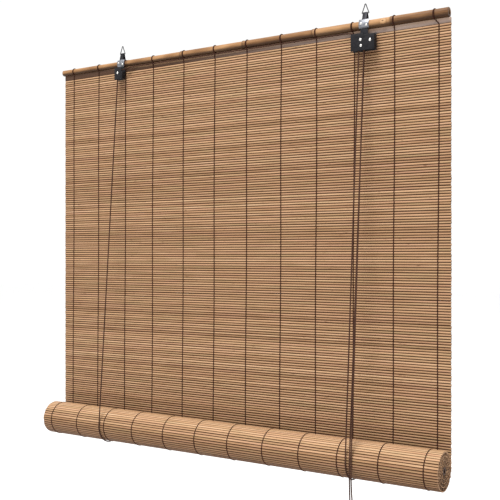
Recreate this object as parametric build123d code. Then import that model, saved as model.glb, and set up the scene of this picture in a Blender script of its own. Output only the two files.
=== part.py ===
"""Bamboo roll-up blind, half raised: head pole, stick mat, roll, hangers, cord lock and cords.

Millimetres. X runs along the head pole to the right as seen from the room, Y runs towards the
wall, Z is up. The origin is the hook seat inside the left hanging ring.
"""

import os
from math import atan2, cos, degrees, hypot, pi, radians, sin, sqrt, tan

from build123d import *

# Mat: split bamboo sticks held by twelve warp threads
MAT_WIDTH = 800.0
STICK_PITCH = 4.17
STICK_THICKNESS = 2.75
GROOVE_DEPTH = 0.75
TOP_STICK_HEIGHT = 7.5
TOP_TAPER_SHARE = 0.9
HANGING_STICK_COUNT = 161
GROOVE_SHARE = 0.2
BACK_CREST_SHARE = 0.5

# Warp threads, one run on each face of the mat
THREAD_COUNT = 12
THREAD_FROM_LEFT = 24.0
THREAD_FROM_RIGHT = 21.4
THREAD_WIDTH = 1.3
THREAD_THICKNESS = 0.4
FRONT_STOP_SHARE = 0.35
TIE_WIDTH = 1.3
TIE_THICKNESS = 0.7
TIE_SIDES = 8

# Head pole: tapered bamboo cane, hollow as far as the first joint at each end; the mat stands
# a little past its right end
POLE_RADIUS_LEFT = 5.5
POLE_RADIUS_RIGHT = 7.75
POLE_OVERHANG_LEFT = 4.0
POLE_OVERHANG_RIGHT = -3.0
POLE_BORE_RADIUS = 3.4
JOINTS_PAST_THREADS = (3.8, -5.4, -7.6, -6.8, -6.0)
JOINT_HEIGHT = 0.5
JOINT_WIDTH = 5.0
SEAT_GAP = 0.05

# Roll: the rest of the mat, wound forwards round the bottom pole
ROLL_LAYER_COUNT = 8
LAYER_PITCH = 2.95
CORE_GAP = 0.15
BOTTOM_POLE_RADIUS = 6.0
BOTTOM_POLE_BORE = 3.4
ROLL_THREAD_STEPS = 5
INNER_TURN_STEPS = 12

# Hanging rings of bent wire
LEFT_THREAD_COUNT = 2
LEFT_HANGER_BEFORE_THREAD = 10.2
RIGHT_THREAD_COUNT = 2
RIGHT_HANGER_PAST_THREAD = 17.6
RING_WIRE_RADIUS = 0.8
RING_RISE = 14.7
RING_HALF_WIDTH = 5.7
RING_BEND = 1.2
RING_BASE_ABOVE_POLE = 19.5
KNUCKLE_GAP = 0.1

# Folded hanger straps
STRAP_THICKNESS = 1.0
STRAP_WIDTH = 17.0
KNUCKLE_WIDTH = 7.4
NECK_ANGLE = 50.0
BACK_LEG_ANGLE = 20.0
SHOULDER_ABOVE_POLE = 1.3
NECK_WIDTH = 13.0

# Pulley and lock housings, both folded from sheet
SHEET = 1.0
CAVITY = 9.0
FOLD_RADIUS = 1.6
PULLEY_LEFT = 7.4
PULLEY_RIGHT = 11.2
PULLEY_TOP = 9.0
PULLEY_BOTTOM = 31.7
PULLEY_AXLE_DROP = 19.3
PULLEY_WEB_DROP = 17.5
LOCK_LEFT = 18.3
LOCK_RIGHT = 22.3
LOCK_TOP = 15.7
LOCK_STEP_TOP = 19.4
LOCK_STEP_LEFT = 2.8
LOCK_BOTTOM = 43.3
LOCK_AXLE = (-1.7, -26.0)
ANVIL_AXLE = (-0.7, -35.5)
CAM_AXLE = (14.8, -28.4)
NECK_PAST_RIVET = 4.5

# Sheaves, cam, anvil bush and fasteners
SHEAVE_PITCH_RADIUS = 4.2
SHEAVE_RIM = 0.9
GROOVE_SPACING = 3.4
GROOVE_HALF_WIDTH = 1.3
SHEAVE_SIDE_GAP = 0.2
SHEAVE_SIDES = 24
RUNNING_GAP = 0.06
RIVET_RADIUS = 1.25
RIVET_HEAD_RADIUS = 2.2
RIVET_HEAD_HEIGHT = 1.0
ANVIL_RADIUS = 1.9
CAM_NOSE_ARM = 7.6
CAM_NOSE_ANGLE = 25.0
CAM_RADIUS = 4.0
CAM_TEETH = 5
TOOTH_STEP = 20.0
TOOTH_DEPTH = 0.7
CAM_SIDE_GAP = 0.6
HOLE_SIDES = 12
NAIL_SIDES = 8
NAIL_RADIUS = 0.8
NAIL_HEAD_RADIUS = 1.9
NAIL_HEAD_HEIGHT = 0.8
NAIL_DEPTH = 5.0
STRAP_NAILS = ((-4.7, 1.5), (4.7, -1.4))

# Cords
CORD_RADIUS = 1.15
SLING_GAP = 0.5
ANCHOR_OFFSET = 12.0
ANCHOR_KNOT_RADIUS = 2.3
ANCHOR_RISE = 2.0
ANCHOR_BITE = 0.8
ANCHOR_BEND_DROP = 22.0
CROSSING_Y = 3.2
CROSSING_GAP = 0.2
CROSSING_LEAVES_LEFT = 30.0
CROSSING_LEAVES_RIGHT = 28.0
CROSSING_BEND = 20.0
PULLEY_EXIT_ANGLE = 12.0
PULLEY_EXIT_RUN = 14.0
LOCK_ENTRY_ANGLE = 25.0
LOCK_ENTRY_RUN = 15.0
PULL_EXIT_BELOW_LOCK = 1.0
PULL_TOP_HALF_GAP = 0.3
PULL_HALF_GAP = 1.45
PULL_DRIFT = (1.2, 2.8)
PULL_DRIFT_DROP = 70.0
COIL_TOP_DROP = 80.0
COIL_RADIUS = 13.0
COIL_BUNDLE = 13.0
COIL_TIE_THICKNESS = 0.9
COIL_TIE_WIDTH = 5.0
COIL_SIDES = 18
COIL_BEVEL_SHARE = 0.28
KNOT_BEVEL_SHARE = 0.5
END_KNOT_RADIUS = 3.4
OVERRUN = 5.0

# Places worked out from the sizes above
POLE_Z = -(RING_RISE + RING_BASE_ABOVE_POLE - RING_WIRE_RADIUS)
THREAD_PITCH = (MAT_WIDTH - THREAD_FROM_LEFT - THREAD_FROM_RIGHT) / (THREAD_COUNT - 1)
MAT_X = LEFT_HANGER_BEFORE_THREAD - THREAD_FROM_LEFT - LEFT_THREAD_COUNT * THREAD_PITCH
THREADS = [MAT_X + THREAD_FROM_LEFT + k * THREAD_PITCH for k in range(THREAD_COUNT)]
POLE_JOINTS = [x + past for x, past in zip(THREADS[LEFT_THREAD_COUNT::2], JOINTS_PAST_THREADS)]
POLE_ENDS = MAT_X - POLE_OVERHANG_LEFT, MAT_X + MAT_WIDTH + POLE_OVERHANG_RIGHT
LEFT_X = 0.0
RIGHT_X = THREADS[-1 - RIGHT_THREAD_COUNT] + RIGHT_HANGER_PAST_THREAD
RING_Z = POLE_Z + RING_BASE_ABOVE_POLE
MAT_TOP = POLE_Z - POLE_RADIUS_RIGHT - TIE_THICKNESS - 2 * SEAT_GAP
MAT_FACE = STICK_THICKNESS / 2
ROLL_Z = MAT_TOP - TOP_STICK_HEIGHT - HANGING_STICK_COUNT * STICK_PITCH
CORE_RADIUS = BOTTOM_POLE_RADIUS + CORE_GAP
ROLL_RADIUS = CORE_RADIUS + STICK_THICKNESS + (ROLL_LAYER_COUNT - 0.5) * LAYER_PITCH
ROLL_Y = MAT_FACE - ROLL_RADIUS
SLING_RADIUS = ROLL_RADIUS + SLING_GAP + CORD_RADIUS
HOUSING_DEPTH = CAVITY + 2 * SHEET
SHEAVE_RADIUS = SHEAVE_PITCH_RADIUS + SHEAVE_RIM


def pole_radius(x):
    """Radius of the head pole at a place along X: even between two joints, thicker to the right."""
    stops = [POLE_ENDS[0], *POLE_JOINTS, POLE_ENDS[1]]
    begin = sum(joint <= x for joint in POLE_JOINTS)
    along = ((stops[begin] + stops[begin + 1]) / 2 - stops[0]) / (stops[-1] - stops[0])
    return POLE_RADIUS_LEFT + along * (POLE_RADIUS_RIGHT - POLE_RADIUS_LEFT)


def neck_y(x):
    """Y of the middle of a strap's neck, where it leaves the pole's underside."""
    return -(pole_radius(x) + SEAT_GAP + STRAP_THICKNESS / 2) * cos(radians(NECK_ANGLE))


def housing_back(x):
    """Y of the rear face of the housing that hangs on the strap at x."""
    return neck_y(x) - STRAP_THICKNESS / 2


def cavity_middle(x):
    """Y of the middle of the space between a housing's plates."""
    return housing_back(x) - SHEET - CAVITY / 2


def tube(path, radius=CORD_RADIUS):
    """A cord or wire along a path, eight-sided to keep its bends light."""
    return sweep((path ^ 0) * RegularPolygon(radius, 8), path=path)


def bent(points, radii, close=False):
    """A path through corner points: straight runs, with a tangent arc of its radius at each corner."""
    corners = [Vector(*point) for point in points]
    count = len(corners)
    runs = []
    last = None if close else corners[0]
    first = None
    for k, radius in zip(range(count) if close else range(1, count - 1), radii):
        corner = corners[k]
        back = (corners[k - 1] - corner).normalized()
        ahead = (corners[(k + 1) % count] - corner).normalized()
        half = back.get_angle(ahead) / 2
        middle = (back + ahead).normalized()
        cut = radius / tan(radians(half))
        far = radius / sin(radians(half)) - radius
        arc = corner + back * cut, corner + middle * far, corner + ahead * cut
        if last is not None and (arc[0] - last).length > SEAT_GAP:
            runs.append(Line(last, arc[0]))
        first = first or arc[0]
        runs.append(ThreePointArc(*arc))
        last = arc[2]
    runs.append(Line(last, first if close else corners[-1]))
    return Wire(runs)


def ridged(start, pitch, count, place, crest=(GROOVE_SHARE, 1 - GROOVE_SHARE)):
    """Points of a row of sticks; place turns a run along the mat and a depth into a point."""
    points = []
    for k in range(count):
        begin = start + k * pitch
        points.append(place(begin, GROOVE_DEPTH))
        points += [place(begin + share * pitch, 0) for share in crest]
    return points


def hanging_mat():
    """The hanging part of the mat: a ridge for every stick; its top edge follows the pole's taper."""

    def side(sign):
        def place(run, depth):
            return sign * (MAT_FACE - depth), MAT_TOP - run

        crest = (GROOVE_SHARE, 1 - GROOVE_SHARE) if sign < 0 else (BACK_CREST_SHARE,)
        top = ridged(0, TOP_STICK_HEIGHT, 1, place, crest)
        rest = ridged(TOP_STICK_HEIGHT, STICK_PITCH, HANGING_STICK_COUNT, place, crest)
        return top + rest + [place(TOP_STICK_HEIGHT + HANGING_STICK_COUNT * STICK_PITCH, 0)]

    outline = side(-1) + side(1)[::-1]
    face = Plane.YZ.offset(MAT_X) * make_face(Polyline(outline, close=True))
    rise = TOP_TAPER_SHARE * (POLE_RADIUS_RIGHT - pole_radius(MAT_X))
    corners = [(MAT_X, MAT_TOP), (MAT_X + MAT_WIDTH, MAT_TOP), (MAT_X, MAT_TOP + rise)]
    slope = Plane.XZ * make_face(Polyline(corners, close=True))
    crown = extrude(slope, MAT_FACE - GROOVE_DEPTH, both=True)
    return extrude(face, MAT_WIDTH, dir=(1, 0, 0)) + crown


def roll_place(half, angle, radius):
    """A point on half turn number half, counted from outside; even ones are the bottom halves."""
    centre = ROLL_Y - (half % 2) * LAYER_PITCH / 2
    return centre + radius * cos(radians(angle)), ROLL_Z + radius * sin(radians(angle))


def half_turn(half, inset, backwards=False):
    """A plain half turn of the spiral strip in short steps, inset from that turn's outer face."""
    radius = ROLL_RADIUS - half * LAYER_PITCH / 2 - inset
    first = 0 if half % 2 == 0 else 180
    step = 180 / INNER_TURN_STEPS
    points = [roll_place(half, first - k * step, radius) for k in range(INNER_TURN_STEPS + 1)]
    return Polyline(points[::-1] if backwards else points)


def rolled_mat():
    """The rolled part of the mat as one spiral strip; its outer turn shows the stick ridges."""
    outer = []
    for half in (0, 1):
        radius = ROLL_RADIUS - half * LAYER_PITCH / 2
        sticks = round(pi * radius / STICK_PITCH)
        first = 0 if half == 0 else 180

        def place(run, depth, half=half, radius=radius, first=first):
            return roll_place(half, first - run, radius - depth)

        outer += ridged(0, 180 / sticks, sticks, place)
    halves = 2 * ROLL_LAYER_COUNT
    outer[0] = roll_place(0, 0, ROLL_RADIUS)
    outer.append(roll_place(2, 0, ROLL_RADIUS - LAYER_PITCH))
    edges = [Polyline(outer)]
    edges += [half_turn(half, 0) for half in range(2, halves)]
    inner = [half_turn(half, STICK_THICKNESS, True) for half in reversed(range(halves))]
    edges.append(Line(edges[-1] @ 1, inner[0] @ 0))
    edges += inner
    edges.append(Line(inner[-1] @ 1, outer[0]))
    face = Plane.YZ.offset(MAT_X) * make_face(edges)
    return extrude(face, MAT_WIDTH, dir=(1, 0, 0))


def bottom_pole():
    """Bamboo cane at the heart of the roll, hollow right through."""
    middle = ROLL_Y - LAYER_PITCH / 2, ROLL_Z
    section = Circle(BOTTOM_POLE_RADIUS) - Circle(BOTTOM_POLE_BORE)
    face = Plane.YZ.offset(MAT_X) * Pos(*middle) * section
    return extrude(face, MAT_WIDTH, dir=(1, 0, 0))


def bar(x, width, y_range, z_range):
    """A block centred on x, between two Y and two Z places."""
    size = width, y_range[1] - y_range[0], z_range[1] - z_range[0]
    middle = x, sum(y_range) / 2, sum(z_range) / 2
    return Pos(*middle) * Box(*size)


def warp_threads():
    """Thread runs down both faces of the hanging mat, from the pole ties to the roll."""
    runs = []
    for x in THREADS:
        top = POLE_Z - pole_radius(x) - SEAT_GAP - TIE_THICKNESS * cos(pi / TIE_SIDES)
        stop = ROLL_Z + FRONT_STOP_SHARE * ROLL_RADIUS
        outside = MAT_FACE + THREAD_THICKNESS
        runs.append(bar(x, THREAD_WIDTH, (-outside, -MAT_FACE), (stop, top)))
        runs.append(bar(x, THREAD_WIDTH, (MAT_FACE, outside), (ROLL_Z, top)))
    return runs


def pole_ties():
    """The thread loops that bind the mat to the head pole."""
    ties = []
    for x in THREADS:
        flat = (pole_radius(x) + SEAT_GAP) / cos(pi / TIE_SIDES)
        turn = 180 / TIE_SIDES - 90
        loop = RegularPolygon(flat + TIE_THICKNESS, TIE_SIDES, rotation=turn)
        loop -= RegularPolygon(flat, TIE_SIDES, rotation=turn)
        face = Plane.YZ.offset(x - TIE_WIDTH / 2) * Pos(0, POLE_Z) * loop
        ties.append(extrude(face, TIE_WIDTH, dir=(1, 0, 0)))
    return ties


def roll_threads():
    """Thread runs round the outer turn of the roll, from the hanging mat once round."""
    step = 180 / ROLL_THREAD_STEPS
    clear = 1 / cos(radians(step / 2))

    def line(rise):
        points = [roll_place(0, 0, ROLL_RADIUS + SEAT_GAP + rise)]
        for half in (0, 1):
            radius = (ROLL_RADIUS - half * LAYER_PITCH / 2 + SEAT_GAP) * clear + rise
            first = 0 if half == 0 else 180
            for k in range(ROLL_THREAD_STEPS - half):
                points.append(roll_place(half, first - (k + 0.5) * step, radius))
        return points

    outline = line(0) + line(THREAD_THICKNESS)[::-1]
    face = make_face(Polyline(outline, close=True))
    places = [Plane.YZ.offset(x - THREAD_WIDTH / 2) for x in THREADS]
    return [extrude(plane * face, THREAD_WIDTH, dir=(1, 0, 0)) for plane in places]


def head_pole():
    """Tapered cane with raised joints, hollow at both ends up to the nearest joint."""
    left, right = POLE_ENDS
    outline = [(left, POLE_BORE_RADIUS), (left, pole_radius(left))]
    for x in POLE_JOINTS:
        before, after = pole_radius(x - JOINT_WIDTH), pole_radius(x + JOINT_WIDTH)
        outline += [(x - JOINT_WIDTH / 2, before), (x - JOINT_WIDTH / 4, after + JOINT_HEIGHT)]
        outline += [(x + JOINT_WIDTH / 4, after + JOINT_HEIGHT), (x + JOINT_WIDTH / 2, after)]
    outline += [(right, pole_radius(right)), (right, POLE_BORE_RADIUS)]
    outline += [(POLE_JOINTS[-1], POLE_BORE_RADIUS), (POLE_JOINTS[-1], 0)]
    outline += [(POLE_JOINTS[0], 0), (POLE_JOINTS[0], POLE_BORE_RADIUS)]
    face = Plane.XZ * make_face(Polyline(outline, close=True))
    return Pos(0, 0, POLE_Z) * revolve(face, axis=Axis.X)


def ring(x):
    """Triangular hanging ring of bent wire, standing on its base in the strap's knuckle."""
    top = RING_Z + RING_RISE
    points = [
        (x - RING_HALF_WIDTH + RING_BEND, 0, RING_Z),
        (x + RING_HALF_WIDTH - RING_BEND, 0, RING_Z),
        (x + RING_HALF_WIDTH, 0, RING_Z + RING_BEND),
        (x + RING_BEND, 0, top - RING_BEND),
        (x + RING_BEND / 2, 0, top),
        (x - RING_BEND / 2, 0, top),
        (x - RING_BEND, 0, top - RING_BEND),
        (x - RING_HALF_WIDTH, 0, RING_Z + RING_BEND),
    ]
    path = Polyline(points, close=True)
    across = Plane((x, 0, RING_Z), x_dir=(0, 1, 0), z_dir=(1, 0, 0))
    section = across * RegularPolygon(RING_WIRE_RADIUS, 8)
    return sweep(section, path=path, transition=Transition.RIGHT)


def drop(x):
    """The teardrop outlines, inner then outer, of a strap folded round ring wire and pole."""
    faces = []
    for grow in (0, STRAP_THICKNESS):
        wire = Pos(0, RING_Z) * Circle(RING_WIRE_RADIUS + KNUCKLE_GAP + grow)
        cane = Pos(0, POLE_Z) * Circle(pole_radius(x) + SEAT_GAP + grow)
        faces.append(make_hull(wire.edges() + cane.edges()))
    return faces


def strap(x, neck_bottom, rivets):
    """Hanger strap: one sheet folded over the ring's base wire and round the pole, with a neck."""
    inner, outer = drop(x)
    radius = pole_radius(x) + SEAT_GAP + STRAP_THICKNESS
    low = -radius * sin(radians(NECK_ANGLE))
    back = -radius * sin(radians(BACK_LEG_ANGLE))
    plane = Plane.YZ.offset(x - STRAP_WIDTH / 2)
    band = extrude(plane * (outer - inner), STRAP_WIDTH, dir=(1, 0, 0))
    reach = (neck_y(x), radius + OVERRUN)
    band -= bar(x, 2 * STRAP_WIDTH, reach, (POLE_Z - radius - OVERRUN, POLE_Z + back))
    below = POLE_Z - 2 * radius, POLE_Z + low
    band -= bar(x, 2 * STRAP_WIDTH, (-radius - OVERRUN, OVERRUN), below)
    neck = (neck_y(x) - STRAP_THICKNESS / 2, neck_y(x) + STRAP_THICKNESS / 2)
    band += bar(x, NECK_WIDTH, neck, (POLE_Z - neck_bottom, POLE_Z + low))
    shoulder = POLE_Z + pole_radius(x) + SHOULDER_ABOVE_POLE
    for sign in (-1, 1):
        waste = (STRAP_WIDTH - KNUCKLE_WIDTH) / 2
        middle = x + sign * (KNUCKLE_WIDTH + waste) / 2
        band -= bar(middle, waste, (-radius - OVERRUN, radius + OVERRUN), (shoulder, OVERRUN))
    for dx, dz in STRAP_NAILS:
        band -= hole((x + dx, -radius - OVERRUN, POLE_Z + dz), 0, NAIL_RADIUS)
    for dx, dz in rivets:
        band -= hole((x + dx, -radius - OVERRUN, POLE_Z + dz), 0, RIVET_RADIUS)
    return band


def hole(start, end_y, radius):
    """The space of a many-sided hole along Y that clears a pin of a radius."""
    plane = Plane(start, x_dir=(1, 0, 0), z_dir=(0, 1, 0))
    across = RegularPolygon((radius + SEAT_GAP) / cos(pi / HOLE_SIDES), HOLE_SIDES)
    return extrude(plane * across, end_y - start[1], dir=(0, 1, 0))


def cross_pin(start, end_y, radius):
    """A plain pin along Y from a start point to another Y place."""
    face = Plane(start, x_dir=(1, 0, 0), z_dir=(0, 1, 0)) * Circle(radius)
    return extrude(face, end_y - start[1], dir=(0, 1, 0))


def housing(x, left, right, top, bottom, web_top, step, rivets):
    """Folded sheet housing, open at the left, top and bottom: back plate, right web, front plate."""
    rear = housing_back(x)
    width, height = left + right, bottom - top
    centre = x + (right - left) / 2, rear - HOUSING_DEPTH / 2, POLE_Z - (top + bottom) / 2
    shell = Pos(*centre) * Box(width, HOUSING_DEPTH, height)
    folds = shell.edges().filter_by(Axis.Z).group_by(Axis.X)[-1]
    shell = fillet(folds, FOLD_RADIUS)
    hollow = Pos(centre[0] - SHEET, centre[1], centre[2]) * Box(width, CAVITY, 2 * height)
    inside = hollow.edges().filter_by(Axis.Z).group_by(Axis.X)[-1]
    shell -= fillet(inside, FOLD_RADIUS - SHEET)
    web = (rear - HOUSING_DEPTH - OVERRUN, rear - SHEET)
    shell -= bar(x + right, 2 * FOLD_RADIUS, web, (POLE_Z - web_top, POLE_Z))
    step_left, step_top = step
    front = (rear - HOUSING_DEPTH - OVERRUN, rear - SHEET - CAVITY / 2)
    middle, wide = x + (right + OVERRUN - step_left) / 2, right + OVERRUN + step_left
    shell -= bar(middle, wide, front, (POLE_Z - step_top, POLE_Z))
    for dx, dz in rivets:
        start = (x + dx, rear - HOUSING_DEPTH - OVERRUN, POLE_Z + dz)
        shell -= hole(start, rear + OVERRUN, RIVET_RADIUS)
    return shell


def sheave(x, axle, grooves):
    """Grooved pulley wheel as wide as the housing's inside, turning on a rivet."""
    middle = cavity_middle(x)
    side = CAVITY / 2 - SHEAVE_SIDE_GAP
    floor = SHEAVE_PITCH_RADIUS - CORD_RADIUS - SEAT_GAP

    def disc(radius, begin, end):
        plane = Plane((x + axle[0], begin, POLE_Z + axle[1]), x_dir=(1, 0, 0), z_dir=(0, 1, 0))
        return extrude(plane * RegularPolygon(radius, SHEAVE_SIDES), end - begin, dir=(0, 1, 0))

    wheel = disc(SHEAVE_RADIUS, middle - side, middle + side)
    for k in range(grooves):
        centre = middle + (k + 0.5 - grooves / 2) * GROOVE_SPACING
        span = centre - GROOVE_HALF_WIDTH, centre + GROOVE_HALF_WIDTH
        wheel -= disc(SHEAVE_RADIUS + OVERRUN, *span) - disc(floor, *span)
    start = (x + axle[0], middle - side - OVERRUN, POLE_Z + axle[1])
    return wheel - cross_pin(start, middle + side + OVERRUN, RIVET_RADIUS + RUNNING_GAP)


def rivet(x, axle, strapped):
    """Riveted axle pin with a domed head in front and a flat head behind."""
    rear = housing_back(x) + (STRAP_THICKNESS if strapped else 0)
    front = housing_back(x) - HOUSING_DEPTH
    at, z = x + axle[0], POLE_Z + axle[1]

    def disc(radius, begin, end):
        plane = Plane((at, begin, z), x_dir=(1, 0, 0), z_dir=(0, 1, 0))
        return extrude(plane * RegularPolygon(radius, HOLE_SIDES), end - begin, dir=(0, 1, 0))

    head = disc(RIVET_HEAD_RADIUS, front - RIVET_HEAD_HEIGHT, front)
    head = chamfer(head.edges().group_by(Axis.Y)[0], RIVET_HEAD_HEIGHT / 2)
    tail = disc(RIVET_HEAD_RADIUS, rear, rear + RIVET_HEAD_HEIGHT / 2)
    return head + disc(RIVET_RADIUS, front, rear) + tail


def nail(place, way):
    """Small nail along Y; place is the middle of the head's seat, way is +1 driven towards +Y."""
    plane = Plane(place, x_dir=(1, 0, 0), z_dir=(0, -way, 0))
    head = extrude(plane * RegularPolygon(NAIL_HEAD_RADIUS, NAIL_SIDES), NAIL_HEAD_HEIGHT)
    return head + extrude(plane * RegularPolygon(NAIL_RADIUS, NAIL_SIDES), -NAIL_DEPTH)


def anchor_place(x):
    """Middle of the knot that ends a lift cord on the back of the pole."""
    at = x - ANCHOR_OFFSET
    return at, pole_radius(at) + SEAT_GAP + ANCHOR_KNOT_RADIUS, POLE_Z + ANCHOR_RISE


def nails():
    """Two nails through each strap, and one through each lift cord's knot behind the pole."""
    made = []
    for x in (LEFT_X, RIGHT_X):
        seat = -(pole_radius(x) + SEAT_GAP + STRAP_THICKNESS)
        made += [nail((x + dx, seat, POLE_Z + dz), 1) for dx, dz in STRAP_NAILS]
        at, y, z = anchor_place(x)
        made.append(nail((at, y + ANCHOR_KNOT_RADIUS, z), -1))
    return made


def lock_cam():
    """Toothed cam that pinches both pull cords against the anvil bush."""
    middle = cavity_middle(RIGHT_X)
    pivot = RIGHT_X + CAM_AXLE[0], POLE_Z + CAM_AXLE[1]
    angle = radians(180 + CAM_NOSE_ANGLE)
    nose = pivot[0] + CAM_NOSE_ARM * cos(angle), pivot[1] + CAM_NOSE_ARM * sin(angle)
    ends = (Pos(*pivot) * Circle(CAM_RADIUS)).edges() + (Pos(*nose) * Circle(CAM_RADIUS)).edges()
    profile = make_hull(ends)
    for k in range(CAM_TEETH):
        way = radians(180 + (k - (CAM_TEETH - 1) / 2) * TOOTH_STEP)
        notch = nose[0] + CAM_RADIUS * cos(way), nose[1] + CAM_RADIUS * sin(way)
        profile -= Pos(*notch) * Rot(0, 0, degrees(way)) * RegularPolygon(TOOTH_DEPTH, 4)
    profile -= Pos(*pivot) * Circle(RIVET_RADIUS + RUNNING_GAP)
    depth = CAVITY - 2 * CAM_SIDE_GAP
    plane = Plane((0, middle + depth / 2, 0), x_dir=(1, 0, 0), z_dir=(0, -1, 0))
    return extrude(plane * profile, depth, dir=(0, -1, 0))


def anvil_bush():
    """Fixed bush on the lower rivet, behind the cords."""
    middle = cavity_middle(RIGHT_X)
    start = (RIGHT_X + ANVIL_AXLE[0], middle - CAVITY / 2, POLE_Z + ANVIL_AXLE[1])
    bush = cross_pin(start, middle + CAVITY / 2, ANVIL_RADIUS)
    return bush - cross_pin(start, middle + CAVITY / 2, RIVET_RADIUS + SEAT_GAP)


def front_tangent(y, z):
    """Where a cord that comes down from a point in YZ first touches the circle of the slings."""
    dy, dz = ROLL_Y - y, ROLL_Z - z
    far = hypot(dy, dz)
    reach = sqrt(far**2 - SLING_RADIUS**2)
    way = atan2(dz, dy) - atan2(SLING_RADIUS, reach)
    return y + reach * cos(way), z + reach * sin(way)


LEFT_LIFT = LEFT_X - SHEAVE_PITCH_RADIUS, cavity_middle(LEFT_X), POLE_Z - PULLEY_AXLE_DROP
RIGHT_LIFT = (
    RIGHT_X + LOCK_AXLE[0] - SHEAVE_PITCH_RADIUS,
    cavity_middle(RIGHT_X) - GROOVE_SPACING / 2,
    POLE_Z + LOCK_AXLE[1],
)
PULL_X = RIGHT_X + LOCK_AXLE[0] + SHEAVE_PITCH_RADIUS
PULL_Z = POLE_Z - LOCK_BOTTOM - PULL_EXIT_BELOW_LOCK


def lift_front(top):
    """The tight run of a lift cord from its sheave down to the front of the roll."""
    x, y, z = top
    return tube(Line(top, (x, *front_tangent(y, z))))


def lift_sling(top):
    """The part of a lift cord that carries the roll: round its front and underside to the back."""
    x, y, z = top
    start = front_tangent(y, z)
    end = ROLL_Y + SLING_RADIUS, ROLL_Z
    bottom = ROLL_Y, ROLL_Z - SLING_RADIUS
    return tube(ThreePointArc((x, *start), (x, *bottom), (x, *end)))


def lift_back(top, hanger):
    """The run of a lift cord up the back of the mat to its knot on the pole."""
    x = top[0]
    at, y, z = anchor_place(hanger)
    behind = ROLL_Y + SLING_RADIUS
    points = [
        (x, behind, ROLL_Z),
        (x, behind, ROLL_Z + ANCHOR_BEND_DROP),
        (at, behind, z - ANCHOR_BEND_DROP),
        (at, y, z - ANCHOR_KNOT_RADIUS + ANCHOR_BITE),
    ]
    return tube(bent(points, [CROSSING_BEND] * 2))


def lift_knots():
    """The knots that end both lift cords, each held to the back of the pole by a nail."""
    knots = []
    for x in (LEFT_X, RIGHT_X):
        at, y, z = anchor_place(x)
        knot = lump((at, y, z), ANCHOR_KNOT_RADIUS)
        knots.append(knot - hole((at, y - OVERRUN, z), y + OVERRUN, NAIL_RADIUS))
    return knots


def under_pole(x):
    """A point of the crossing cord, close under the front of the pole and clear of the ties."""
    far = pole_radius(x) + 2 * TIE_THICKNESS + CROSSING_GAP + CORD_RADIUS
    return x, -CROSSING_Y, POLE_Z - sqrt(far**2 - CROSSING_Y**2)


def left_crossing():
    """The left cord from over its sheave, along under the pole, over the lock's sheave and out."""
    radius = SHEAVE_PITCH_RADIUS
    x, y, z = LEFT_LIFT
    leave, enter = radians(PULLEY_EXIT_ANGLE), radians(LOCK_ENTRY_ANGLE)
    over = (x, y, z + radius * tan((pi / 2 - leave) / 2))
    away = (x + PULLEY_EXIT_RUN * cos(leave), y, over[2] + PULLEY_EXIT_RUN * sin(leave))
    groove = cavity_middle(RIGHT_X) + GROOVE_SPACING / 2
    down = (PULL_X, groove, POLE_Z + LOCK_AXLE[1] + radius * tan((pi / 2 - enter) / 2))
    near = (PULL_X - LOCK_ENTRY_RUN * cos(enter), groove, down[2] + LOCK_ENTRY_RUN * sin(enter))
    points = [
        LEFT_LIFT,
        over,
        away,
        under_pole(LEFT_X + CROSSING_LEAVES_LEFT),
        under_pole(RIGHT_X - CROSSING_LEAVES_RIGHT),
        near,
        down,
        (PULL_X - PULL_TOP_HALF_GAP, groove, PULL_Z),
    ]
    return tube(bent(points, [radius] + [CROSSING_BEND] * 4 + [radius]))


def right_crossing():
    """The right cord over the lock's sheave, past the cam and out below."""
    x, y, z = RIGHT_LIFT
    top = x + SHEAVE_PITCH_RADIUS, y, z + SHEAVE_PITCH_RADIUS
    path = ThreePointArc(RIGHT_LIFT, top, (PULL_X, y, z))
    return tube(Wire([path, Line((PULL_X, y, z), (PULL_X + PULL_TOP_HALF_GAP, y, PULL_Z))]))


def pull_points(side):
    """Exit, touching point on the roll, corner and lower points of a pull cord; side is -1 or +1."""
    y = cavity_middle(RIGHT_X) - side * GROOVE_SPACING / 2
    exit_point = PULL_X + side * PULL_TOP_HALF_GAP, y, PULL_Z
    touch_y, touch_z = front_tangent(y, PULL_Z)
    x = PULL_X + side * PULL_HALF_GAP
    turn = SLING_RADIUS * tan(atan2(y - touch_y, PULL_Z - touch_z) / 2)
    front = ROLL_Y - SLING_RADIUS
    drift = PULL_DRIFT[0] if side < 0 else PULL_DRIFT[1]
    return [
        exit_point,
        (x, touch_y, touch_z),
        (x, front, ROLL_Z + turn),
        (x, front, ROLL_Z - ROLL_RADIUS),
        (x + drift, front, ROLL_Z - PULL_DRIFT_DROP),
        (COIL_MIDDLE[0] + side * PULL_HALF_GAP, front, COIL_TOP),
    ]


COIL_MIDDLE = (
    PULL_X + sum(PULL_DRIFT) / 2,
    ROLL_Y - SLING_RADIUS,
    ROLL_Z - COIL_TOP_DROP - COIL_RADIUS - COIL_BUNDLE / 2,
)
COIL_TOP = COIL_MIDDLE[2] + (COIL_RADIUS + COIL_BUNDLE / 2) * cos(pi / COIL_SIDES)


def pull_upper(side):
    """The tight run of a pull cord from the lock down to the front of the roll."""
    return tube(Line(*pull_points(side)[:2]))


def pull_tail(side):
    """A pull cord from the front of the roll down to the tied coil."""
    points = pull_points(side)[1:]
    return tube(bent(points, [SLING_RADIUS] + [CROSSING_BEND] * 2))


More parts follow.
